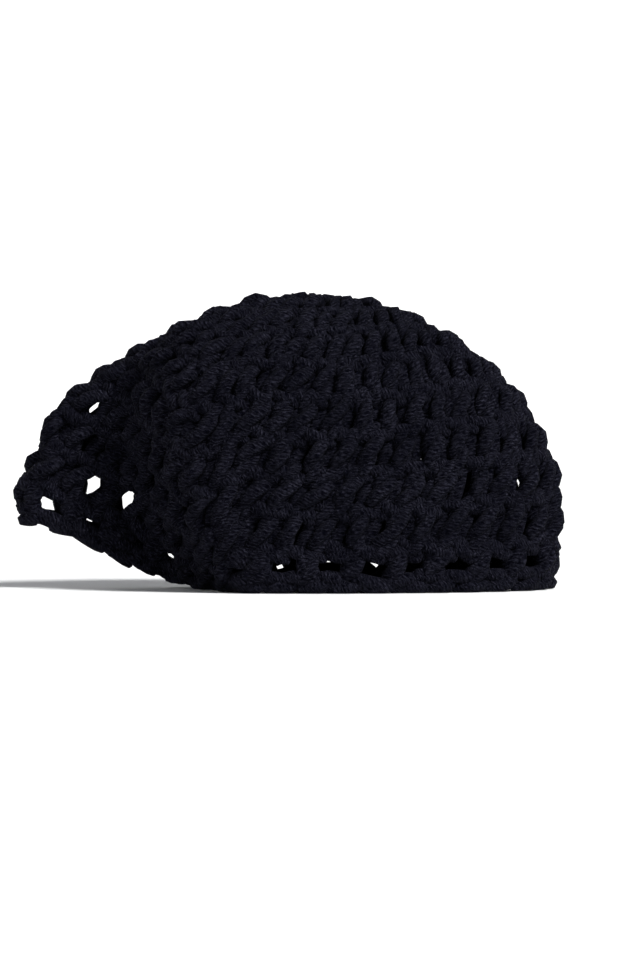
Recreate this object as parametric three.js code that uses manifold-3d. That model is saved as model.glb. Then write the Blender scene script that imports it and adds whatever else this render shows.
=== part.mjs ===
// A crocheted skullcap of thick yarn, worked in rounds from the crown centre down to the rim.
// It rests on its rim: a soft dome whose left end is folded flat and turned up a little.
// Millimetres, +Z up. The origin is on the ground, under the middle of the cap. The front faces -Y.
import * as THREE from "three";
import { mergeVertices } from "three/addons/utils/BufferGeometryUtils.js";
import Module from "manifold-3d";

const wasm = await Module();
wasm.setup();

// Overall form
const LENGTH = 226.6; // end to end, along X, before the rounds bulge
const DEPTH = 106; // front to back, along Y, likewise
const HEIGHT = 120.6; // ground to crown, likewise
const APEX_X = 9; // the crown centre lies a little right of the middle
const APEX_Y = 9; // and nearer to the back
const BELT_RIGHT = 35; // height where the right end is widest
const BELT_LEFT = 8; // the same at the folded left end, above its raised rim
const TUCK = 0.028; // share of the half-size by which the rim draws in under the belt
const END_POWER = 1.88; // 2 is an ellipse; the ends are rounder
const FACE_POWER = 2.7; // and the front and back are squarer

// The fold at the left end: a flat wing behind a curved valley, with a raised corner
const WING_GAP = 6; // left between its two layers
const WING_Y = 10; // the wing lies nearer to the back
const VALLEY_X = -0.3486 * LENGTH; // where the valley reaches farthest left
const VALLEY_Z = 0.6136 * HEIGHT; // and how high that is
const VALLEY_FOOT = 0.1324 * LENGTH; // how far right of it the valley meets the ground
const FOLD_WIDTH_FRONT = 0.1765 * LENGTH; // from the valley to the full bulge of the dome
const FOLD_WIDTH_BACK = 0.3442 * LENGTH;
const LIFT = 0.2405 * HEIGHT; // height of the rim at the left tip
const LIFT_START_X = -0.1324 * LENGTH;
const LIFT_END_X = -0.5207 * LENGTH;
const NOTCH = 3.5; // dent in the left end, above the corner
const NOTCH_Z = 0.4726 * HEIGHT;
const NOTCH_HALF_HEIGHT = 0.1078 * HEIGHT;
const NOTCH_POWER = 8; // a higher power keeps the dent closer to the very end

// The fabric
const WALL = 8; // two strands thick
const CROWN_ROUND_COUNT = 9;
const ROUND_HEIGHT = 16.4;
const OPENWORK_HEIGHT = 12;
const EDGING_HEIGHT = 5.5;
const RIDGE = 1.5; // how far each round bulges between its grooves
const BULGE_START = 0.3; // shares of a round's height between which it bulges in full
const BULGE_END = 0.7;
const SEAT_GAP = 0.3; // clearance between one piece and the next
const OPENWORK_GAP_COUNT = 30;
const OPENWORK_START = 1 / 6; // share of a gap's pitch from the left end to the first gap
const GAP_WIDTH = 9;
const GAP_HEIGHT = 5;
const GAP_SHOULDER = 0.4; // share of its half width over which a gap is full height
const GAP_CUT = 2 * WALL; // how deep each gap is cut, right through the wall
const EDGE_ROUNDING = 2;

// Stretched stitches in the wing, seen right through it. Places are shares of LENGTH from the
// middle and of HEIGHT from the ground, and sizes are shares of ROUND_HEIGHT.
const STRETCHED_GAPS = [
  { along: -0.351, up: 0.354, wide: 0.33, tall: 0.36 },
  { along: -0.292, up: 0.31, wide: 0.28, tall: 0.28 },
  { along: -0.351, up: 0.615, wide: 0.24, tall: 0.2 },
];

const COLUMNS = 3 * OPENWORK_GAP_COUNT;
const SLEEVE_STEPS = 360; // samples round a level when its length is measured
const MERIDIAN_STEPS = 120;
const WING_HALF_DEPTH = WALL + WING_GAP / 2;
const BELT_DROP = 0.8; // share of the way down from the crown to the belt
const FOLD_THICKENING = 0.6; // keeps the wall as thick where it turns into the valley
const FABRIC_LENGTH = CROWN_ROUND_COUNT * ROUND_HEIGHT + OPENWORK_HEIGHT + EDGING_HEIGHT;

const YARN_BLACK = new THREE.Color(0.028, 0.028, 0.034);

const mix = (a, b, t) => a + (b - a) * t;
const clamp01 = (t) => Math.min(1, Math.max(0, t));
const ramp = (t) => clamp01(t) ** 2 * (3 - 2 * clamp01(t));
const softRamp = (t) => clamp01(t) ** 3 * (10 - 15 * clamp01(t) + 6 * clamp01(t) ** 2);

// A point of the cap's wall. phi runs round the cap from the right end, drop runs from the crown
// centre (0) to the rim (1), and inset is the distance in from the outside.
function wallPoint(phi, drop, inset) {
  const across = Math.cos(phi);
  const power = mix(END_POWER, FACE_POWER, Math.sin(phi) ** 2);
  const belt = across > 0 ? BELT_RIGHT : mix(BELT_RIGHT, BELT_LEFT, across ** 2);
  const arc = (Math.PI / 2) * Math.min(1, drop / BELT_DROP);
  const skirt = Math.max(0, (drop - BELT_DROP) / (1 - BELT_DROP));
  const drawnIn = 1 - TUCK * (1 - Math.cos((skirt * Math.PI) / 2));
  const spread = drawnIn * Math.sin(arc) ** (2 / power);
  const dome = (HEIGHT - inset - belt) * Math.max(0, Math.cos(arc)) ** (2 / power);
  const rise = belt * (1 - skirt) + dome;

  const reach = (across > 0 ? LENGTH / 2 - APEX_X : LENGTH / 2 + APEX_X) - inset;
  const plainX = APEX_X + reach * spread * across;
  const lift = LIFT * ramp((plainX - LIFT_START_X) / (LIFT_END_X - LIFT_START_X));
  const z = mix(lift, HEIGHT, rise / HEIGHT);
  const fromNotch = (z - NOTCH_Z) / NOTCH_HALF_HEIGHT;
  const notch = across < 0 ? NOTCH * across ** NOTCH_POWER * Math.max(0, 1 - fromNotch ** 2) ** 2 : 0;
  const x = plainX + notch;

  const side = Math.sign(Math.sin(phi));
  const foldWidth = side < 0 ? FOLD_WIDTH_FRONT : FOLD_WIDTH_BACK;
  const valley = VALLEY_X + VALLEY_FOOT * (1 - z / VALLEY_Z) ** 2;
  const folded = softRamp((valley + foldWidth + FOLD_THICKENING * inset - x) / foldWidth);
  const wing = WING_HALF_DEPTH - inset;
  const toEnd = Math.min(1, (reach * spread * (1 - Math.abs(across))) / wing);
  const wingY = WING_Y + side * wing * Math.sqrt(1 - (1 - toEnd) ** 2);
  const domeY = APEX_Y * (1 - spread) + (DEPTH / 2 - inset) * spread * Math.sin(phi);
  return new THREE.Vector3(x, mix(domeY, wingY, folded), z);
}

// The place in a rising table of lengths where a given length is reached, as a share of its end.
function placeOf(length, lengths) {
  let i = 1;
  while (i < lengths.length - 1 && lengths[i] < length) i += 1;
  const t = (length - lengths[i - 1]) / (lengths[i] - lengths[i - 1]);
  return (i - 1 + t) / (lengths.length - 1);
}

function runningLengths(points) {
  const lengths = [0];
  for (let i = 1; i < points.length; i += 1)
    lengths.push(lengths[i - 1] + points[i].distanceTo(points[i - 1]));
  return lengths;
}

// How far down a meridian a given level of fabric lies. level is a length of fabric from the
// crown centre: rounds are spaced evenly along every meridian.
const meridians = new Map();
function dropAt(phi, level) {
  if (!meridians.has(phi)) {
    const points = Array.from({ length: MERIDIAN_STEPS + 1 }, (_, i) =>
      wallPoint(phi, i / MERIDIAN_STEPS, 0),
    );
    meridians.set(phi, runningLengths(points));
  }
  const lengths = meridians.get(phi);
  return placeOf((lengths.at(-1) * level) / FABRIC_LENGTH, lengths);
}

// The angles of the columns on one level, spaced evenly by length from the left end.
const SEAM = Math.PI;
const levelAngles = new Map();
function anglesAt(level) {
  if (!levelAngles.has(level)) {
    const turns = Array.from(
      { length: SLEEVE_STEPS + 1 },
      (_, i) => SEAM + (2 * Math.PI * i) / SLEEVE_STEPS,
    );
    const ring = turns.map((phi) => wallPoint(phi, dropAt(phi, level), 0));
    const lengths = runningLengths(ring);
    const angles = Array.from(
      { length: 2 * COLUMNS },
      (_, c) => SEAM + 2 * Math.PI * placeOf((lengths.at(-1) * c) / (2 * COLUMNS), lengths),
    );
    levelAngles.set(level, angles);
  }
  return levelAngles.get(level);
}

// A point of the fabric. halfColumn counts half columns round the cap.
function fabricPoint(halfColumn, level, inset) {
  const phi = anglesAt(level)[halfColumn % (2 * COLUMNS)];
  return wallPoint(phi, dropAt(phi, level), inset);
}

// A closed mesh swept round the cap from a section: points of level and inset that run down the
// outside and back up the inside. A section that starts and ends at level 0 closes at the crown.
function ringOfFabric(section) {
  const corners = [];
  const faces = [];
  const rows = section.map(({ level, inset }) => {
    const first = corners.length;
    const count = level === 0 ? 1 : COLUMNS;
    for (let c = 0; c < count; c += 1)
      corners.push(
        level === 0 ? wallPoint(SEAM, 0, inset) : fabricPoint(2 * c, level, inset),
      );
    return Array.from({ length: COLUMNS + 1 }, (_, c) => first + (c % count));
  });
  const opensAtCrown = section[0].level !== 0;
  const strips = opensAtCrown ? rows.length : rows.length - 1;
  for (let r = 0; r < strips; r += 1) {
    const upper = rows[r];
    const lower = rows[(r + 1) % rows.length];
    for (let c = 0; c < COLUMNS; c += 1) {
      if (upper[c] !== upper[c + 1]) faces.push(upper[c], lower[c], upper[c + 1]);
      if (lower[c] !== lower[c + 1]) faces.push(upper[c + 1], lower[c], lower[c + 1]);
    }
  }
  const geometry = new THREE.BufferGeometry().setFromPoints(corners);
  geometry.setIndex(faces);
  return geometry;
}

function toSolid(geometry) {
  const bare = geometry.clone();
  bare.deleteAttribute("normal");
  bare.deleteAttribute("uv");
  const merged = mergeVertices(bare, 1e-4);
  return new wasm.Manifold(
    new wasm.Mesh({
      numProp: 3,
      vertProperties: merged.getAttribute("position").array,
      triVerts: new Uint32Array(merged.index.array),
    }),
  );
}

function toGeometry(solid) {
  const mesh = solid.getMesh();
  const geometry = new THREE.BufferGeometry();
  geometry.setAttribute("position", new THREE.BufferAttribute(mesh.vertProperties, 3));
  geometry.setIndex(new THREE.BufferAttribute(mesh.triVerts, 1));
  geometry.computeVertexNormals();
  return geometry;
}

// An eye-shaped bar that cuts one gap. It is centred on a point and runs along a direction.
function eyeCutter(width, height, through, centre, direction) {
  const corners = [
    [-1, 0],
    [-GAP_SHOULDER, -1],
    [GAP_SHOULDER, -1],
    [1, 0],
    [GAP_SHOULDER, 1],
    [-GAP_SHOULDER, 1],
  ];
  const eye = new THREE.Shape(
    corners.map(([a, b]) => new THREE.Vector2((a * width) / 2, (b * height) / 2)),
  );
  const bar = new THREE.ExtrudeGeometry(eye, { depth: through, bevelEnabled: false });
  bar.translate(0, 0, -through / 2);
  const sideways = new THREE.Vector3().crossVectors(new THREE.Vector3(0, 0, 1), direction);
  const upwards = new THREE.Vector3().crossVectors(direction, sideways.normalize());
  const turn = new THREE.Matrix4().makeBasis(sideways, upwards.normalize(), direction);
  bar.applyMatrix4(turn.setPosition(centre));
  return toSolid(bar);
}

function fabricMesh(name, geometry) {
  const material = new THREE.MeshStandardMaterial({
    color: YARN_BLACK,
    roughness: 0.95,
    metalness: 0,
  });
  const mesh = new THREE.Mesh(geometry, material);
  mesh.name = name;
  return mesh;
}

// The crown: rounds of tall stitches, each bulging between two grooves.
function makeCrown() {
  const foot = CROWN_ROUND_COUNT * ROUND_HEIGHT - SEAT_GAP / 2;
  const section = [{ level: 0, inset: 0 }];
  for (let round = 0; round < CROWN_ROUND_COUNT; round += 1) {
    const top = round * ROUND_HEIGHT;
    if (round > 0) section.push({ level: top, inset: RIDGE / 2 });
    section.push({ level: top + ROUND_HEIGHT * BULGE_START, inset: -RIDGE / 2 });
    section.push({ level: top + ROUND_HEIGHT * BULGE_END, inset: -RIDGE / 2 });
  }
  section.push({ level: foot, inset: RIDGE / 2 });
  section.push({ level: foot, inset: WALL });
  for (let round = CROWN_ROUND_COUNT - 1; round > 0; round -= 1)
    section.push({ level: round * ROUND_HEIGHT, inset: WALL });
  section.push({ level: 0, inset: WALL });

  let crown = toSolid(ringOfFabric(section));
  for (const gap of STRETCHED_GAPS) {
    const cutter = eyeCutter(
      gap.wide * ROUND_HEIGHT,
      gap.tall * ROUND_HEIGHT,
      DEPTH,
      new THREE.Vector3(gap.along * LENGTH, WING_Y, gap.up * HEIGHT),
      new THREE.Vector3(0, -1, 0),
    );
    crown = crown.subtract(cutter);
  }
  return fabricMesh("crown", toGeometry(crown));
}

// The openwork round: posts with an eye-shaped gap between each two.
function makeOpenworkRound() {
  const top = CROWN_ROUND_COUNT * ROUND_HEIGHT + SEAT_GAP / 2;
  const bottom = top + OPENWORK_HEIGHT - SEAT_GAP;
  const middle = (top + bottom) / 2;
  const section = [
    { level: top, inset: RIDGE / 2 },
    { level: middle, inset: 0 },
    { level: bottom, inset: RIDGE / 2 },
    { level: bottom, inset: WALL },
    { level: top, inset: WALL },
  ];
  let round = toSolid(ringOfFabric(section));
  const halfColumns = (2 * COLUMNS) / OPENWORK_GAP_COUNT;
  for (let gap = 0; gap < OPENWORK_GAP_COUNT; gap += 1) {
    const at = Math.round((gap + OPENWORK_START) * halfColumns);
    const outer = fabricPoint(at, middle, 0);
    const inner = fabricPoint(at, middle, WALL);
    const before = fabricPoint(at + 2 * COLUMNS - 1, middle, WALL / 2);
    const after = fabricPoint(at + 1, middle, WALL / 2);
    const along = after.sub(before).setZ(0).normalize();
    const outwards = new THREE.Vector3(along.y, -along.x, 0);
    const centre = outer.add(inner).multiplyScalar(0.5);
    round = round.subtract(
      eyeCutter(GAP_WIDTH, GAP_HEIGHT, GAP_CUT, centre, outwards),
    );
  }
  return fabricMesh("openwork_round", toGeometry(round));
}

// The edging: one low, rounded round along the rim, flat where it rests.
function makeEdging() {
  const top = CROWN_ROUND_COUNT * ROUND_HEIGHT + OPENWORK_HEIGHT + SEAT_GAP / 2;
  const shoulder = FABRIC_LENGTH - EDGE_ROUNDING;
  return fabricMesh(
    "edging",
    ringOfFabric([
      { level: top, inset: RIDGE / 2 },
      { level: (top + shoulder) / 2, inset: -RIDGE / 2 },
      { level: shoulder, inset: 0 },
      { level: FABRIC_LENGTH, inset: EDGE_ROUNDING },
      { level: FABRIC_LENGTH, inset: WALL - EDGE_ROUNDING },
      { level: shoulder, inset: WALL },
      { level: top, inset: WALL },
    ]),
  );
}

const skullcap = new THREE.Group();
skullcap.name = "crochet_skullcap";
skullcap.add(makeCrown(), makeOpenworkRound(), makeEdging());
export default skullcap;
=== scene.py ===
"""A crocheted skullcap of thick black yarn, every stitch a strand that can be seen from any side.

The cap is worked in rounds from the crown centre down to the rim. A place on its fabric is given
by three numbers: how far round the cap (a share of one turn from the left end, towards the front),
how far down from the crown centre (millimetres of fabric), and how far out from the middle of the
wall (millimetres). Stitches are drawn there and carried to their place on the cap.
"""

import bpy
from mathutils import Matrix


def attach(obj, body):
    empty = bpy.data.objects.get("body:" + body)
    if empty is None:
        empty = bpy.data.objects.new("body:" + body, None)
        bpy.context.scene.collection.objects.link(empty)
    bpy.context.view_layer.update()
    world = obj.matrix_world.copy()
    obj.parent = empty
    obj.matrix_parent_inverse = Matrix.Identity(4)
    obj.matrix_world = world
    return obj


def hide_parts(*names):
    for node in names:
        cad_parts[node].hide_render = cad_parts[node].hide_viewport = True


bl_info = {
    "name": "Crochet Skullcap",
    "version": (1, 0, 0),
    "blender": (4, 5, 0),
    "location": "View3D > Sidebar > Skullcap",
    "description": "Builds a crocheted skullcap of thick yarn, stitch by stitch",
    "category": "Add Mesh",
}

import bpy
import numpy as np
from bpy.props import FloatProperty, FloatVectorProperty, IntProperty, PointerProperty
from mathutils import Vector

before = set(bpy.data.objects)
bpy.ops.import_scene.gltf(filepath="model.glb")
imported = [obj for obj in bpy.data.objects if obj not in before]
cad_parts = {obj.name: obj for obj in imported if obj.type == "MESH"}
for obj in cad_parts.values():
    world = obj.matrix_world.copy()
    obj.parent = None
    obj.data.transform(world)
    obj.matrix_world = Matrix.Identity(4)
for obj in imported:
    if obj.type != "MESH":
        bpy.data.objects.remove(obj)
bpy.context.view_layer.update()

MM = 0.001

# The form of the cap, in millimetres, the same as in the solids
LENGTH = 226.6
DEPTH = 106.0
HEIGHT = 120.6
APEX_X = 9.0
APEX_Y = 9.0
BELT_RIGHT = 35.0
BELT_LEFT = 8.0
TUCK = 0.028
END_POWER = 1.88
FACE_POWER = 2.7
BELT_DROP = 0.8
WALL = 8.0
WING_HALF_DEPTH = 11.0
WING_Y = 10.0
VALLEY_X = -79.0
VALLEY_Z = 74.0
VALLEY_FOOT = 30.0
FOLD_WIDTH_FRONT = 40.0
FOLD_WIDTH_BACK = 78.0
FOLD_THICKENING = 0.6
LIFT = 29.0
LIFT_START_X = -30.0
LIFT_END_X = -118.0
NOTCH = 3.5
NOTCH_Z = 57.0
NOTCH_HALF_HEIGHT = 13.0
NOTCH_POWER = 8

# The rounds, in millimetres of fabric
CROWN_ROUNDS = 9
ROUND_HEIGHT = 16.4
OPENWORK_HEIGHT = 12.0
EDGING_HEIGHT = 5.5
OPENWORK_GAPS = 30
OPENWORK_START = 1 / 6  # share of a gap's pitch from the left end to the first gap
RIDGE = 1.5  # how far each round bulges between its grooves
CROWN_LENGTH = CROWN_ROUNDS * ROUND_HEIGHT
FABRIC_LENGTH = CROWN_LENGTH + OPENWORK_HEIGHT + EDGING_HEIGHT

# The yarn: plies round a strand, millimetres along it from ply to ply, and round its girth
PLIES = 6
PLY_SPACING = 1.35
STRAND_GIRTH = 16.5

# A strand in the mesh: its sides, what makes up for their flats, how far its closed ends stand
# out as a share of its radius there, and its steps
SIDES = 6
ROUNDNESS = 1.043
END_REACH = 0.45
POST_STEPS = 9
BACK_STEPS = 6
LINK_STEPS = 8

# Stretched stitches that can be seen through from the front, four in the wing and one in the
# openwork round: X and Z in millimetres, and the clear radius of each
STRETCHED_GAPS = (
    (-79.5, 42.7, 3.0),
    (-66.2, 37.4, 2.3),
    (-79.5, 74.2, 1.6),
    (-98.5, 35.0, 1.9),
    (36.3, 8.9, 2.2),
)
STRETCH_REACH = 15.0  # how far from a gap a strand is still moved
STRAND_RADIUS = 2.8  # room for a strand, a little over half the yarn

# The view: the photograph's frame, and where the cap stands in it
FRAME_HEIGHT_PX = 960
SENSOR_MM = 36.0
MM_PER_PX = 0.41
VIEW_CENTRE = (13.7, 0.0, 44.6)
VIEW_DISTANCE = 1.8
VIEW_ELEVATION = 1.0


def ramp(t):
    """A smooth step from 0 to 1: 3 t squared less 2 t cubed."""
    t = np.clip(t, 0, 1)
    return t**2 * (3 - 2 * t)


def soft_ramp(t):
    """A smoother step from 0 to 1: t cubed times (10 less 15 t plus 6 t squared)."""
    t = np.clip(t, 0, 1)
    return t**3 * (10 - 15 * t + 6 * t**2)


def mix(a, b, t):
    return a + (b - a) * t


def wall_point(phi, drop, inset):
    """A point of the wall, in millimetres.

    Every meridian is a quarter of a rounded ellipse from the crown centre down to the belt, then
    a short skirt to the rim. Left of a curved valley the two layers come together as a flat wing,
    whose rim is lifted towards its tip.
    """
    across = np.cos(phi)
    power = mix(END_POWER, FACE_POWER, np.sin(phi) ** 2)
    belt = np.where(across > 0, BELT_RIGHT, mix(BELT_RIGHT, BELT_LEFT, across**2))
    arc = np.pi / 2 * np.minimum(1, drop / BELT_DROP)
    skirt = np.maximum(0, (drop - BELT_DROP) / (1 - BELT_DROP))
    drawn_in = 1 - TUCK * (1 - np.cos(skirt * np.pi / 2))
    spread = drawn_in * np.sin(arc) ** (2 / power)
    dome = (HEIGHT - inset - belt) * np.maximum(0, np.cos(arc)) ** (2 / power)
    rise = belt * (1 - skirt) + dome

    reach = np.where(across > 0, LENGTH / 2 - APEX_X, LENGTH / 2 + APEX_X) - inset
    plain_x = APEX_X + reach * spread * across
    lift = LIFT * ramp((plain_x - LIFT_START_X) / (LIFT_END_X - LIFT_START_X))
    z = mix(lift, HEIGHT, rise / HEIGHT)
    from_notch = (z - NOTCH_Z) / NOTCH_HALF_HEIGHT
    notch = NOTCH * across**NOTCH_POWER * np.maximum(0, 1 - from_notch**2) ** 2
    x = plain_x + np.where(across < 0, notch, 0)

    side = np.sign(np.sin(phi))
    fold_width = np.where(side < 0, FOLD_WIDTH_FRONT, FOLD_WIDTH_BACK)
    valley = VALLEY_X + VALLEY_FOOT * (1 - z / VALLEY_Z) ** 2
    folded = soft_ramp((valley + fold_width + FOLD_THICKENING * inset - x) / fold_width)
    wing = WING_HALF_DEPTH - inset
    to_end = np.minimum(1, reach * spread * (1 - np.abs(across)) / wing)
    wing_y = WING_Y + side * wing * np.sqrt(np.maximum(0, 1 - (1 - to_end) ** 2))
    dome_y = APEX_Y * (1 - spread) + (DEPTH / 2 - inset) * spread * np.sin(phi)
    return np.stack([x, mix(dome_y, wing_y, folded), z], axis=-1)


def running_lengths(points):
    """Lengths along each polyline of a stack, from its first point."""
    steps = np.linalg.norm(np.diff(points, axis=-2), axis=-1)
    start = np.zeros(steps.shape[:-1] + (1,))
    return np.concatenate([start, np.cumsum(steps, axis=-1)], axis=-1)


class Fabric:
    """The middle of the cap's wall as a grid: rounds evenly spaced down every meridian, and
    stitches evenly spaced round every level. Places between grid points are interpolated."""

    LEVELS = 240
    TURNS = 1200
    STEPS = 240
    LEVEL_ROWS = 3  # rows at the crown centre where the wall lies flat

    def __init__(self):
        turns = np.pi + np.linspace(0, 2 * np.pi, self.TURNS + 1)
        drops = np.linspace(0, 1, self.STEPS + 1)
        outside = wall_point(turns[:, None], drops[None, :], 0.0)
        lengths = running_lengths(outside)
        shares = np.linspace(0, 1, self.LEVELS + 1)
        drop_at = np.stack([np.interp(shares * row[-1], row, drops) for row in lengths])
        rings = wall_point(turns[:, None], drop_at, 0.0).transpose(1, 0, 2)
        ring_lengths = running_lengths(rings)
        ring_lengths[0] = np.linspace(0, 1, self.TURNS + 1)
        around = np.linspace(0, 1, self.TURNS + 1)
        phi = np.stack([np.interp(around * row[-1], row, turns) for row in ring_lengths])
        drop = np.stack(
            [np.interp(p, turns, d) for p, d in zip(phi, drop_at.T)],
        )
        self.grid = wall_point(phi, drop, WALL / 2)
        along = np.gradient(self.grid, axis=1)
        along[:, 0] = along[:, -1] = (along[:, 0] + along[:, -1]) / 2
        down = np.gradient(self.grid, axis=0)
        normal = np.cross(down, along)
        normal /= np.maximum(1e-9, np.linalg.norm(normal, axis=-1, keepdims=True))
        normal[: self.LEVEL_ROWS] = np.array([0.0, 0.0, 1.0])
        self.normal = normal

    def sample(self, grid, share, level):
        """Bilinear interpolation of a grid at places given by share and level."""
        column = (share % 1.0) * self.TURNS
        row = np.clip(level / FABRIC_LENGTH, 0, 1) * self.LEVELS
        c = np.minimum(column.astype(int), self.TURNS - 1)
        r = np.minimum(row.astype(int), self.LEVELS - 1)
        fc = (column - c)[..., None]
        fr = (row - r)[..., None]
        upper = grid[r, c] * (1 - fc) + grid[r, c + 1] * fc
        lower = grid[r + 1, c] * (1 - fc) + grid[r + 1, c + 1] * fc
        return upper * (1 - fr) + lower * fr

    def place(self, share, level, out):
        """Points in millimetres, out from the middle of the wall along its normal."""
        normal = self.sample(self.normal, share, level)
        normal /= np.maximum(1e-9, np.linalg.norm(normal, axis=-1, keepdims=True))
        below = np.maximum(0, level - FABRIC_LENGTH)[..., None]
        points = self.sample(self.grid, share, level) + normal * out[..., None]
        return points - below * np.array([0.0, 0.0, 1.0])


def part_stitches(points):
    """Parts the strands round each stretched gap, as seen from the front.

    A strand that passes a gap nearer than its clear radius is pushed to the side that it passes
    on, by what it lacks, fading to nothing at the reach. It stays one smooth curve.
    """
    every = np.arange(len(points))
    for gap_x, gap_z, radius in STRETCHED_GAPS:
        clear = radius + STRAND_RADIUS
        away = points[..., [0, 2]] - np.array([gap_x, gap_z])
        far = np.linalg.norm(away, axis=-1)
        nearest = np.argmin(far, axis=1)
        before = points[every, np.maximum(nearest - 1, 0)]
        after = points[every, np.minimum(nearest + 1, points.shape[1] - 1)]
        run = (after - before)[:, [0, 2]]
        aside = np.stack([-run[:, 1], run[:, 0]], axis=-1)
        aside /= np.maximum(1e-6, np.linalg.norm(aside, axis=-1, keepdims=True))
        passes_at = np.sum(away[every, nearest] * aside, axis=-1)
        lacks = np.maximum(0, clear - np.abs(passes_at)) * np.where(passes_at < 0, -1, 1)
        fade = np.clip(1 - (far / STRETCH_REACH) ** 2, 0, 1) ** 2
        points[..., [0, 2]] += (lacks[:, None] * fade)[..., None] * aside[:, None]
    return points


class StrandBatch:
    """Collects closed tubes and makes one mesh of them.

    A tube is a circle carried along a path. The circle's frame is turned as little as possible
    from step to step, and the circle shrinks to a pole at both ends.
    """

    STEEP = 0.8  # share of a strand's start that points up, past which its frame starts from X
    LENGTH_OFFSET = 50  # millimetres by which the plies of two strands may be out of step

    def __init__(self):
        self.verts = []
        self.quads = []
        self.tris = []
        self.quad_uvs = []
        self.tri_uvs = []
        self.total = 0

    def add(self, centre, radius):
        """centre: strands by steps by 3, radius: strands by steps, both in millimetres."""
        strands, steps, _ = centre.shape
        tangent = np.gradient(centre, axis=1)
        tangent /= np.maximum(1e-9, np.linalg.norm(tangent, axis=-1, keepdims=True))
        helper = np.where(np.abs(tangent[:, 0, 2:]) < self.STEEP, [[0.0, 0.0, 1.0]], [[1.0, 0.0, 0.0]])
        side = np.cross(tangent[:, 0], helper)
        side /= np.linalg.norm(side, axis=-1, keepdims=True)
        frames = [side]
        for step in range(1, steps):
            flat = frames[-1] - tangent[:, step] * np.sum(
                frames[-1] * tangent[:, step], axis=-1, keepdims=True
            )
            frames.append(flat / np.maximum(1e-9, np.linalg.norm(flat, axis=-1, keepdims=True)))
        side = np.stack(frames, axis=1)
        up = np.cross(tangent, side)

        angle = np.linspace(0, 2 * np.pi, SIDES, endpoint=False)
        circle = (
            np.cos(angle)[None, None, :, None] * side[:, :, None]
            + np.sin(angle)[None, None, :, None] * up[:, :, None]
        )
        rings = centre[:, :, None] + radius[:, :, None, None] * ROUNDNESS * circle
        cap = radius[:, [0, -1], None] * END_REACH
        ends = centre[:, [0, -1]] + tangent[:, [0, -1]] * cap * np.array([[[-1.0], [1.0]]])

        per_strand = steps * SIDES
        first = self.total + np.arange(strands)[:, None, None] * (per_strand + 2)
        here = np.arange(steps - 1)[None, :, None] * SIDES
        k = np.arange(SIDES)[None, None, :]
        k_next = (k + 1) % SIDES
        quads = np.stack(
            [
                first + here + k,
                first + here + k_next,
                first + here + SIDES + k_next,
                first + here + SIDES + k,
            ],
            axis=-1,
        )
        first = first[:, 0]
        k = k[0]
        k_next = k_next[0]
        start_pole = np.broadcast_to(first + per_strand, (strands, SIDES))
        end_pole = start_pole + 1
        last = per_strand - SIDES
        start_cap = np.stack([start_pole, first + k_next, first + k], axis=-1)
        end_cap = np.stack([end_pole, first + last + k, first + last + k_next], axis=-1)

        length = running_lengths(centre)
        turn = np.arange(SIDES) / SIDES
        turn_next = turn + 1 / SIDES
        offset = np.random.default_rng(strands * steps).uniform(0, self.LENGTH_OFFSET, (strands, 1))
        v = length + offset
        u0 = np.broadcast_to(turn, (strands, steps - 1, SIDES))
        u1 = np.broadcast_to(turn_next, u0.shape)
        v0 = np.broadcast_to(v[:, :-1, None], u0.shape)
        v1 = np.broadcast_to(v[:, 1:, None], u0.shape)
        corners = [(u0, v0), (u1, v0), (u1, v1), (u0, v1)]
        quad_uv = np.stack([np.stack(c, axis=-1) for c in corners], axis=-2)
        cap_u = np.broadcast_to(turn, (strands, SIDES))
        cap_v = np.broadcast_to(v[:, :1], cap_u.shape)
        cap_uv = np.stack([cap_u, cap_v], axis=-1)[:, :, None].repeat(3, axis=2)

        body = rings.reshape(strands, per_strand, 3)
        self.verts.append(np.concatenate([body, ends], axis=1).reshape(-1, 3))
        self.quads.append(quads.reshape(-1, 4))
        self.tris.append(np.concatenate([start_cap, end_cap]).reshape(-1, 3))
        self.quad_uvs.append(quad_uv.reshape(-1, 2))
        self.tri_uvs.append(np.concatenate([cap_uv, cap_uv]).reshape(-1, 2))
        self.total += strands * (per_strand + 2)

    def to_object(self, name, material):
        verts = np.concatenate(self.verts) * MM
        quads = np.concatenate(self.quads)
        tris = np.concatenate(self.tris)
        corner = np.concatenate([quads.reshape(-1), tris.reshape(-1)]).astype(np.int32)
        starts = np.concatenate(
            [np.arange(len(quads)) * 4, len(quads) * 4 + np.arange(len(tris)) * 3]
        ).astype(np.int32)
        mesh = bpy.data.meshes.new(name)
        mesh.vertices.add(len(verts))
        mesh.vertices.foreach_set("co", verts.astype(np.float32).reshape(-1))
        mesh.loops.add(len(corner))
        mesh.loops.foreach_set("vertex_index", corner)
        mesh.polygons.add(len(starts))
        mesh.polygons.foreach_set("loop_start", starts)
        mesh.polygons.foreach_set("use_smooth", np.ones(len(starts), dtype=bool))
        uvs = np.concatenate(self.quad_uvs + self.tri_uvs).astype(np.float32)
        layer = mesh.uv_layers.new(name="strand")
        layer.data.foreach_set("uv", uvs.reshape(-1))
        mesh.update(calc_edges=True)
        mesh.validate()
        mesh.materials.append(material)
        piece = bpy.data.objects.new(name, mesh)
        bpy.context.collection.objects.link(piece)
        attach(piece, "root")
        return piece


# Shares of the yarn's radius: where a strand is pulled through its neighbours, and between
PULLED_THIN = 0.62
FULL = 1.08


def plump(steps, ends=PULLED_THIN):
    """A radius profile of a soft strand: thin where it is pulled through its neighbours at both
    ends, and full between. It rises as a root of a sine."""
    t = np.linspace(0, 1, steps)
    return ends + (FULL - ends) * np.sqrt(np.sin(np.pi * t).clip(0, 1))


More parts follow.
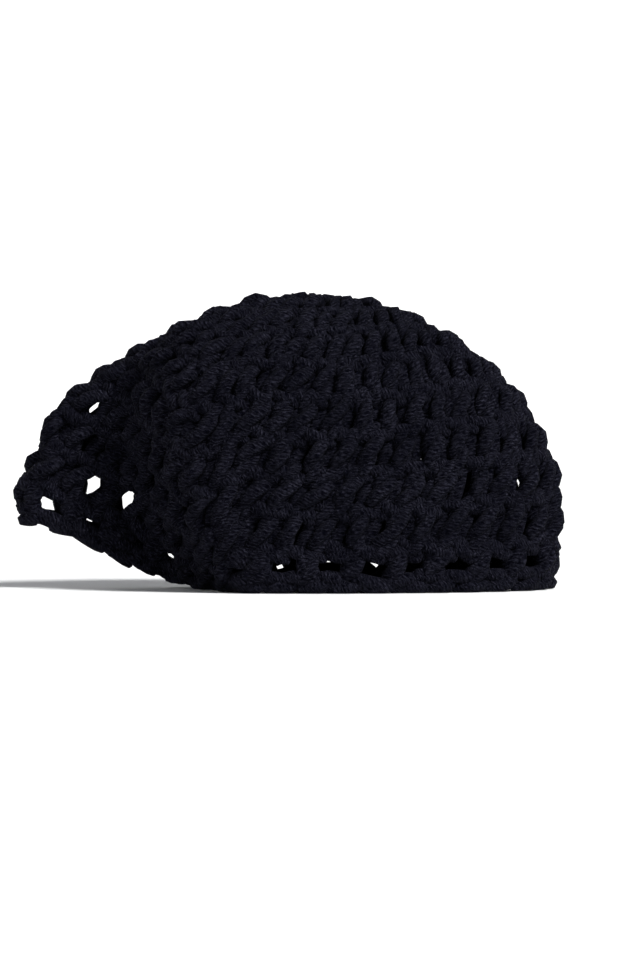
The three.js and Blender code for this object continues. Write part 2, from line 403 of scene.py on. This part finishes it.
class Round:
    """One round of stitches: where it lies, how many stitches, and their small irregularities.

    Across is counted in stitches. Down and out are in millimetres, except that a post or a back
    is drawn from 0 at the round's top to 1 at its foot. Each _VARIES is the spread of a chance
    difference from stitch to stitch, in the unit of what it changes, or a share of it.
    """

    GIRTH_VARIES = 0.05

    POST_START = -0.2
    POST_END = 1.17
    POST_BULGE = 1.2  # both in shares of the rounds' ridge
    POST_SUNK = 0.6
    POST_WAVER = 0.05
    POST_WAVES = 1.2
    POST_DROP_VARIES = 0.04
    LEAN_VARIES = 0.5
    SLIDE_VARIES = 0.08
    RISE_VARIES = 0.5
    PHASE_VARIES = 0.5
    SWIRL_VARIES = 0.16

    BACK_START = -0.14
    BACK_END = 1.14
    BACK_ARCH = 0.5
    BACK_GIRTH = 1.22
    BACK_ENDS = 0.85
    BACK_SLIDE_VARIES = 0.05
    BACK_RISE_VARIES = 0.25

    LINK_WIDTH = 1.1
    LINK_SUNK = 0.6
    LINK_GIRTH = 0.98
    LINK_WIDTH_VARIES = 0.1
    LINK_SLIDE_VARIES = 0.09
    LINK_SLOPE_VARIES = 0.55
    LINK_DROP_VARIES = 0.6
    LINK_RISE_VARIES = 0.45

    def __init__(self, fabric, batch, yarn_diameter, count, top, height, seed, shift=0.0):
        self.fabric = fabric
        self.batch = batch
        self.yarn = yarn_diameter / MM / 2
        self.count = count
        self.top = top
        self.height = height
        self.shift = shift
        self.random = np.random.default_rng(seed)

    def jitter(self, spread):
        """One random value for each stitch, never more than twice the spread."""
        return self.random.normal(0, spread, (self.count, 1)).clip(-2 * spread, 2 * spread)

    def carry(self, across, down, out, radius):
        """Carries strands drawn in stitch widths, millimetres down and millimetres out. What would
        dip into the ground is laid on it."""
        index = np.arange(self.count)[:, None] + self.shift
        share = (index + across) / self.count
        points = part_stitches(self.fabric.place(share, self.top + down, out))
        varied = radius * (1 + self.jitter(self.GIRTH_VARIES))
        width = np.broadcast_to(varied, points.shape[:2])
        points[..., 2] = np.maximum(points[..., 2], width)
        self.batch.add(points, width)

    def posts(self, strands, turns, lean, swirl, depth, taper=0.0):
        """Posts: a few strands wound round each other, leaning to the right at their heads.

        Each strand is a helix about the post's axis: swirl and depth are the helix's half width
        in stitches and half depth in millimetres. The axis bulges between the round's grooves.
        Taper is the share by which a strand is thinner at its head.
        """
        t = np.linspace(self.POST_START, self.POST_END, POST_STEPS)[None, :]
        tilt = lean * (1 + self.jitter(self.LEAN_VARIES))
        slide = self.jitter(self.SLIDE_VARIES)
        rise = self.jitter(self.RISE_VARIES)
        phase = self.jitter(self.PHASE_VARIES)
        spread = swirl * (1 + self.jitter(self.SWIRL_VARIES))
        bulge = RIDGE * (self.POST_BULGE * np.sin(np.pi * np.clip(t, 0, 1)) - self.POST_SUNK)
        for strand in range(strands):
            turn = 2 * np.pi * (turns * (t - 0.5) + strand / strands) + np.pi / 2 + phase
            waves = self.POST_WAVES * t + self.jitter(self.PHASE_VARIES)
            waver = self.POST_WAVER * np.sin(2 * np.pi * waves)
            across = tilt * (0.5 - t) + spread * np.cos(turn) + slide + waver
            out = depth * np.sin(turn) + bulge + rise
            down = (t + self.jitter(self.POST_DROP_VARIES)) * self.height
            narrowed = 1 - taper * (1 - np.clip(t, 0, 1))
            self.carry(across, down, out, self.yarn * plump(POST_STEPS) * narrowed)

    def backs(self, lean, depth):
        """The strand behind each gap between two posts, which leans as they do and arches
        outwards as a sine."""
        t = np.linspace(self.BACK_START, self.BACK_END, BACK_STEPS)[None, :]
        across = 0.5 + lean * (0.5 - t) + self.jitter(self.BACK_SLIDE_VARIES)
        arch = self.BACK_ARCH * np.sin(np.pi * t)
        out = arch - depth + self.jitter(self.BACK_RISE_VARIES)
        girth = self.yarn * self.BACK_GIRTH * plump(BACK_STEPS, self.BACK_ENDS)
        self.carry(across, t * self.height, out, girth)

    def chain(self, down, front, back, slope=-4.4):
        """The chain of loops between two rounds: each link has a front leg and a back leg that
        arch out of the wall as a sine and dip back into it. Slope is how many millimetres higher
        a link's right end is than its left one, and down is where its middle lies."""
        u = np.linspace(0, 1, LINK_STEPS)[None, :]
        arch = np.sin(np.pi * u)
        for out_sign, reach in ((1, front), (-1, back)):
            width = self.LINK_WIDTH + self.jitter(self.LINK_WIDTH_VARIES)
            across = (u - 0.5) * width + 0.5 + self.jitter(self.LINK_SLIDE_VARIES)
            fall = slope * (0.5 - u) * (1 + self.jitter(self.LINK_SLOPE_VARIES))
            level = down + fall + self.jitter(self.LINK_DROP_VARIES)
            out = out_sign * (reach * arch - self.LINK_SUNK) + self.jitter(self.LINK_RISE_VARIES)
            self.carry(across, level, out, self.yarn * self.LINK_GIRTH * plump(LINK_STEPS))


class SocketMaths:
    """A shader socket that can be used in Python sums: each operator adds a Math node."""

    def __init__(self, tree, socket):
        self.tree = tree
        self.socket = socket

    def _apply(self, operation, first, second=None):
        node = self.tree.nodes.new("ShaderNodeMath")
        node.operation = operation
        for place, value in enumerate(v for v in (first, second) if v is not None):
            if isinstance(value, SocketMaths):
                self.tree.links.new(value.socket, node.inputs[place])
            else:
                node.inputs[place].default_value = value
        return SocketMaths(self.tree, node.outputs[0])

    def __add__(self, other):
        return self._apply("ADD", self, other)

    def __radd__(self, other):
        return self._apply("ADD", other, self)

    def __sub__(self, other):
        return self._apply("SUBTRACT", self, other)

    def __rsub__(self, other):
        return self._apply("SUBTRACT", other, self)

    def __mul__(self, other):
        return self._apply("MULTIPLY", self, other)

    def __rmul__(self, other):
        return self._apply("MULTIPLY", other, self)

    def __truediv__(self, other):
        return self._apply("DIVIDE", self, other)

    def sine(self):
        return self._apply("SINE", self)

    def absolute(self):
        return self._apply("ABSOLUTE", self)


class Shader:
    """A material's node tree, with one method that adds any node."""

    def __init__(self, name):
        self.material = bpy.data.materials.new(name)
        self.material.use_nodes = True
        self.tree = self.material.node_tree
        self.tree.nodes.clear()

    def node(self, kind, settings=None, inputs=None):
        """Adds a node: its settings first, then values or links for its sockets by name."""
        node = self.tree.nodes.new(kind)
        for key, value in (settings or {}).items():
            if key == "stops":
                for stop, (position, colour) in zip(node.color_ramp.elements, value):
                    stop.position = position
                    stop.color = (*colour, 1)
            else:
                setattr(node, key, value)
        for key, value in (inputs or {}).items():
            if isinstance(value, SocketMaths):
                self.tree.links.new(value.socket, node.inputs[key])
            elif isinstance(value, bpy.types.NodeSocket):
                self.tree.links.new(value, node.inputs[key])
            else:
                node.inputs[key].default_value = value
        return node

    def maths(self, socket):
        return SocketMaths(self.tree, socket)

    def surface(self, inputs):
        shader = self.node("ShaderNodeBsdfPrincipled", inputs=inputs)
        self.node("ShaderNodeOutputMaterial", inputs={"Surface": shader.outputs["BSDF"]})
        return self.material


# The yarn's surface. The noise scales are per metre, wander is in plies, relief is in shares of
# BUMP, and the colour factor runs from the yarn's dark colour at 0 to its light one at 1. It
# paints glints along the fibres and shade in the grooves between the plies, times random patches.
FUZZ_SCALE = 900.0
PATCH_SCALE = 60.0
PATCH_WANDER = 3.0
FUZZ_WANDER = 1.2
FIBRES_ACROSS = 2.9
FIBRES_ALONG = 0.36
PLY_RELIEF = 0.4
FIBRE_RELIEF = 1.4
FUZZ_RELIEF = 0.4
BUMP = 0.8 * MM
FIBRE_GLINT_GAIN = 3.6
FIBRE_GLINT_OFFSET = 1.45
PLY_PAINTED_SHADE = 0.8
GROOVE_PAINTED_SHADE = 0.2
PATCH_SHADE = 1.4
PATCH_DARK = 0.15
YARN_ROUGHNESS = 0.95
YARN_SPECULAR = 0.03
SHEEN_ROUGHNESS = 0.45


def yarn_material(colours):
    """Soft plied yarn: fibres, the plies wound round each strand, fuzz, and random darker patches,
    with painted glints on the fibres and painted shade in the ply grooves.

    A ply is the sine, made positive, of a count of plies that grows round the strand and falls
    along it. A fibre is noise stretched along the ply.
    """
    shader = Shader("black_yarn")
    uv = shader.node("ShaderNodeUVMap", {"uv_map": "strand"})
    parts = shader.node("ShaderNodeSeparateXYZ", inputs={"Vector": uv.outputs["UV"]})
    around = shader.maths(parts.outputs["X"])
    along = shader.maths(parts.outputs["Y"])
    place = shader.node("ShaderNodeTexCoord").outputs["Object"]

    fuzz_node = shader.node(
        "ShaderNodeTexNoise", inputs={"Vector": place, "Scale": FUZZ_SCALE, "Detail": 4.0}
    )
    fuzz = shader.maths(fuzz_node.outputs["Fac"])
    patch_node = shader.node(
        "ShaderNodeTexNoise", inputs={"Vector": place, "Scale": PATCH_SCALE, "Detail": 3.0}
    )
    patch = shader.maths(patch_node.outputs["Fac"])

    across_plies = around * PLIES - along / PLY_SPACING
    along_plies = around * STRAND_GIRTH + along * (PLIES * PLY_SPACING / STRAND_GIRTH)
    wander = patch * PATCH_WANDER + fuzz * FUZZ_WANDER
    ply = ((across_plies + wander) * np.pi).sine().absolute()
    fibre_place = shader.node(
        "ShaderNodeCombineXYZ",
        inputs={"X": (across_plies + wander) * FIBRES_ACROSS, "Y": along_plies * FIBRES_ALONG},
    )
    fibre_node = shader.node(
        "ShaderNodeTexNoise",
        inputs={"Vector": fibre_place.outputs["Vector"], "Scale": 1.0, "Detail": 3.0},
    )
    fibre = shader.maths(fibre_node.outputs["Fac"])
    height = ply * PLY_RELIEF + fibre * FIBRE_RELIEF + fuzz * FUZZ_RELIEF
    bump = shader.node(
        "ShaderNodeBump",
        inputs={"Strength": 1.0, "Distance": BUMP, "Height": height},
    )

    # Painted glints: bright streaks along the fibres stand in for the light that black fibres catch.
    fibre_painted_glint = fibre * FIBRE_GLINT_GAIN - FIBRE_GLINT_OFFSET
    # Painted shade: the colour is darker in the grooves between the plies, where shade falls; the
    # patch term is random tone.
    tone_and_painted_light = fibre_painted_glint * (ply * PLY_PAINTED_SHADE + GROOVE_PAINTED_SHADE) * (patch * PATCH_SHADE + PATCH_DARK)
    colour = shader.node(
        "ShaderNodeMix",
        {"data_type": "RGBA"},
        {"Factor": tone_and_painted_light, "A": (*colours.shadow, 1), "B": (*colours.light, 1)},
    )
    return shader.surface(
        {
            "Base Color": colour.outputs["Result"],
            "Roughness": YARN_ROUGHNESS,
            "Specular IOR Level": YARN_SPECULAR,
            "Sheen Weight": colours.sheen,
            "Sheen Roughness": SHEEN_ROUGHNESS,
            "Sheen Tint": (*colours.sheen_tint, 1),
            "Normal": bump.outputs["Normal"],
        }
    )


PAPER_MOTTLE_SCALE = 3.0
PAPER_DARK = (0.9, 0.9, 0.9)
PAPER_LIGHT = (0.93, 0.93, 0.93)
PAPER_ROUGHNESS = 0.95


def stage_material():
    """A matt, pale surface with the faintest mottle."""
    shader = Shader("studio_paper")
    place = shader.node("ShaderNodeTexCoord").outputs["Object"]
    mottle = shader.node(
        "ShaderNodeTexNoise", inputs={"Vector": place, "Scale": PAPER_MOTTLE_SCALE, "Detail": 2.0}
    )
    colour = shader.node(
        "ShaderNodeValToRGB",
        {"stops": ((0.0, PAPER_DARK), (1.0, PAPER_LIGHT))},
        {"Fac": mottle.outputs["Fac"]},
    )
    return shader.surface({"Base Color": colour.outputs["Color"], "Roughness": PAPER_ROUGHNESS})


class CapSizes(bpy.types.PropertyGroup):
    yarn_diameter: FloatProperty(
        name="Yarn diameter",
        description="Thickness of one strand",
        default=5.2 * MM,
        unit="LENGTH",
    )
    stitches: IntProperty(
        name="Stitches",
        description="Stitches in each full round",
        default=40,
        min=12,
    )
    increase: IntProperty(
        name="Increase",
        description="Stitches added in each round from the centre until the round is full",
        default=10,
        min=4,
    )
    lean: FloatProperty(
        name="Lean",
        description="How far a stitch leans over its height, in stitch widths",
        default=0.4,
    )


class CapColours(bpy.types.PropertyGroup):
    # The yarn's own dark colour, which also stands for painted shade in the grooves between the plies,
    # and is bluer, as shade is.
    shadow: FloatVectorProperty(
        name="Yarn, dark",
        description="Colour of the yarn in the grooves between its plies",
        subtype="COLOR",
        size=3,
        default=(0.0002, 0.0003, 0.002),
    )
    # The yarn's light colour, which also stands for painted glints on the fibres and the ply crowns.
    light: FloatVectorProperty(
        name="Yarn, light",
        description="Colour of the yarn on its plies",
        subtype="COLOR",
        size=3,
        default=(0.0245, 0.0245, 0.0375),
    )
    sheen: FloatProperty(
        name="Sheen",
        description="Strength of the soft light that the fuzz catches",
        default=0.006,
        min=0,
        max=1,
        subtype="FACTOR",
    )
    sheen_tint: FloatVectorProperty(
        name="Sheen tint",
        description="Colour of that light",
        subtype="COLOR",
        size=3,
        default=(0.55, 0.58, 0.7),
    )


class Workshop:
    """What the operators share: the fabric and the yarn's material, made once."""

    fabric = None
    yarn = None

    @classmethod
    def prepare(cls, context):
        if cls.fabric is None:
            cls.fabric = Fabric()
        if cls.yarn is None:
            cls.yarn = yarn_material(context.scene.cap_colours)
        return cls.fabric, cls.yarn


ROUND_TURN = 0.37  # stitches by which each round is turned on from the last
CENTRE_TAPER = 0.45  # share by which the first round's strands are thinner at the centre


class SKULLCAP_OT_crown(bpy.types.Operator):
    """Crochet the rounds of the crown, from the centre down"""

    bl_idname = "skullcap.crown"
    bl_label = "Crown"

    def execute(self, context):
        sizes = context.scene.cap_sizes
        fabric, yarn = Workshop.prepare(context)
        pieces = []
        for number in range(CROWN_ROUNDS):
            batch = StrandBatch()
            stitches = Round(
                fabric,
                batch,
                sizes.yarn_diameter,
                count=min(sizes.stitches, sizes.increase * (number + 1)),
                top=number * ROUND_HEIGHT,
                height=ROUND_HEIGHT,
                seed=number + 1,
                shift=ROUND_TURN * number,
            )
            taper = CENTRE_TAPER if number == 0 else 0.0
            stitches.posts(strands=2, turns=0.8, lean=sizes.lean, swirl=0.15, depth=2.0, taper=taper)
            stitches.backs(lean=sizes.lean, depth=3.1)
            stitches.chain(down=ROUND_HEIGHT, front=1.1, back=1.4)
            pieces.append(batch.to_object(f"crown_round_{number + 1}", yarn))
        for piece in pieces:
            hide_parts("crown")
        return {"FINISHED"}


UPPER_CHAIN = 1.5  # millimetres from the openwork round's top to the middle of its upper chain
LOWER_CHAIN = 1.2  # and from the middle of its lower chain to its foot


class SKULLCAP_OT_openwork(bpy.types.Operator):
    """Crochet the openwork round: a post, then a gap, between two chains of loops"""

    bl_idname = "skullcap.openwork"
    bl_label = "Openwork round"

    def execute(self, context):
        sizes = context.scene.cap_sizes
        fabric, yarn = Workshop.prepare(context)
        batch = StrandBatch()
        posts = Round(
            fabric,
            batch,
            sizes.yarn_diameter,
            count=OPENWORK_GAPS,
            top=CROWN_LENGTH,
            height=OPENWORK_HEIGHT,
            seed=42,
            shift=OPENWORK_START - 0.5,
        )
        posts.posts(strands=3, turns=0.6, lean=0.15, swirl=0.15, depth=1.6)
        links = Round(
            fabric,
            batch,
            sizes.yarn_diameter,
            count=sizes.stitches,
            top=CROWN_LENGTH,
            height=OPENWORK_HEIGHT,
            seed=41,
        )
        links.chain(down=OPENWORK_HEIGHT - LOWER_CHAIN, front=1.6, back=1.4, slope=-2.0)
        links.chain(down=UPPER_CHAIN, front=1.4, back=1.3)
        piece = batch.to_object("openwork_stitches", yarn)
        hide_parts("openwork_round")
        return {"FINISHED"}


EDGING_TURN = 0.3  # stitches by which the edging is turned on


class SKULLCAP_OT_edging(bpy.types.Operator):
    """Crochet the edging along the rim"""

    bl_idname = "skullcap.edging"
    bl_label = "Edging"

    def execute(self, context):
        sizes = context.scene.cap_sizes
        fabric, yarn = Workshop.prepare(context)
        batch = StrandBatch()
        height = EDGING_HEIGHT - sizes.yarn_diameter / MM / 2
        links = Round(
            fabric,
            batch,
            sizes.yarn_diameter,
            count=sizes.stitches,
            top=CROWN_LENGTH + OPENWORK_HEIGHT,
            height=height,
            seed=50,
            shift=EDGING_TURN,
        )
        links.chain(down=height, front=1.7, back=1.5, slope=2.6)
        piece = batch.to_object("edging_stitches", yarn)
        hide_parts("edging")
        return {"FINISHED"}


# The floor, in metres: a flat disc, then a bend that turns as the profile's share grows
FLOOR_RINGS = 40
FLOOR_SIDES = 64
FLOOR_FLAT = 4.0
FLOOR_BEND = 3.0
FLAT_SHARE = 0.4
BEND_RATE = 2.6
FLOOR_CENTRE = 0.01

SKY_COLOUR = (0.75, 0.83, 1.0)
SKY_STRENGTH = 0.07

# Each sun: its name, the way to it, its strength, and how wide it looks in degrees
SUNS = (
    ("key_light", (0.8, -0.6, 1.05), 4.8, 18),
    ("back_light", (-0.5, 0.7, 0.9), 0.4, 40),
)
SUN_DISTANCE = 2


class SKULLCAP_OT_stage(bpy.types.Operator):
    """Set up the pale floor, the soft lights and the camera"""

    bl_idname = "skullcap.stage"
    bl_label = "Stage"

    def execute(self, context):
        self.floor()
        self.lights()
        self.camera(context)
        context.scene.view_settings.view_transform = "Standard"
        return {"FINISHED"}

    def floor(self):
        """A round floor that sweeps up into a wall far from the cap: a profile turned about Z."""
        along = np.linspace(0, 1, FLOOR_RINGS)
        bent = (along - FLAT_SHARE) * BEND_RATE
        swept = FLOOR_FLAT + FLOOR_BEND * np.sin(bent)
        radius = np.where(along < FLAT_SHARE, along / FLAT_SHARE * FLOOR_FLAT, swept)
        height = np.where(along < FLAT_SHARE, 0, FLOOR_BEND * (1 - np.cos(bent)))
        turn = np.linspace(0, 2 * np.pi, FLOOR_SIDES, endpoint=False)
        radius = np.maximum(radius, FLOOR_CENTRE)
        x = radius[:, None] * np.cos(turn)
        y = radius[:, None] * np.sin(turn)
        z = np.broadcast_to(height[:, None], x.shape)
        verts = np.stack([x, y, z], axis=-1).reshape(-1, 3)
        row = np.arange(FLOOR_RINGS - 1)[:, None] * FLOOR_SIDES
        following = row + FLOOR_SIDES
        k = np.arange(FLOOR_SIDES)[None, :]
        k_next = (k + 1) % FLOOR_SIDES
        faces = np.stack([row + k, following + k, following + k_next, row + k_next], axis=-1)
        faces = faces.reshape(-1, 4).tolist() + [list(range(FLOOR_SIDES))]
        mesh = bpy.data.meshes.new("studio_floor")
        mesh.from_pydata(verts.tolist(), [], faces)
        mesh.polygons.foreach_set("use_smooth", np.ones(len(faces), dtype=bool))
        mesh.materials.append(stage_material())
        floor = bpy.data.objects.new("studio_floor", mesh)
        bpy.context.collection.objects.link(floor)

    def lights(self):
        world = bpy.data.worlds.new("studio_light")
        world.use_nodes = True
        background = world.node_tree.nodes["Background"]
        background.inputs["Color"].default_value = (*SKY_COLOUR, 1)
        background.inputs["Strength"].default_value = SKY_STRENGTH
        bpy.context.scene.world = world
        for name, towards, strength, softness in SUNS:
            light = bpy.data.lights.new(name, "SUN")
            light.energy = strength
            light.angle = np.radians(softness)
            lamp = bpy.data.objects.new(name, light)
            lamp.location = Vector(towards) * SUN_DISTANCE
            lamp.rotation_euler = Vector(towards).to_track_quat("Z", "Y").to_euler()
            bpy.context.collection.objects.link(lamp)

    def camera(self, context):
        """Far and nearly level, as in the photograph, so that the cap fills the same place."""
        camera = bpy.data.cameras.new("photo_camera")
        camera.sensor_fit = "VERTICAL"
        camera.sensor_height = SENSOR_MM
        camera.lens = SENSOR_MM * VIEW_DISTANCE / (FRAME_HEIGHT_PX * MM_PER_PX * MM)
        viewer = bpy.data.objects.new("photo_camera", camera)
        target = Vector(VIEW_CENTRE) * MM
        up = np.radians(VIEW_ELEVATION)
        away = Vector((0, -np.cos(up), np.sin(up))) * VIEW_DISTANCE
        viewer.location = target + away
        viewer.rotation_euler = (-away).to_track_quat("-Z", "Y").to_euler()
        bpy.context.collection.objects.link(viewer)
        context.scene.camera = viewer


class SKULLCAP_PT_panel(bpy.types.Panel):
    bl_idname = "SKULLCAP_PT_panel"
    bl_label = "Skullcap"
    bl_space_type = "VIEW_3D"
    bl_region_type = "UI"
    bl_category = "Skullcap"

    def draw(self, context):
        layout = self.layout
        for group in (context.scene.cap_sizes, context.scene.cap_colours):
            box = layout.box()
            for key in group.__annotations__:
                box.prop(group, key)
        for operator in OPERATORS:
            layout.operator(operator.bl_idname)


OPERATORS = (SKULLCAP_OT_crown, SKULLCAP_OT_openwork, SKULLCAP_OT_edging, SKULLCAP_OT_stage)
CLASSES = (CapSizes, CapColours, *OPERATORS, SKULLCAP_PT_panel)


def register():
    for cls in CLASSES:
        bpy.utils.register_class(cls)
    bpy.types.Scene.cap_sizes = PointerProperty(type=CapSizes)
    bpy.types.Scene.cap_colours = PointerProperty(type=CapColours)


def unregister():
    del bpy.types.Scene.cap_colours
    del bpy.types.Scene.cap_sizes
    for cls in reversed(CLASSES):
        bpy.utils.unregister_class(cls)


def main():
    register()
    bpy.ops.skullcap.stage()
    bpy.ops.skullcap.crown()
    bpy.ops.skullcap.openwork()
    bpy.ops.skullcap.edging()


if __name__ == "__main__":
    main()
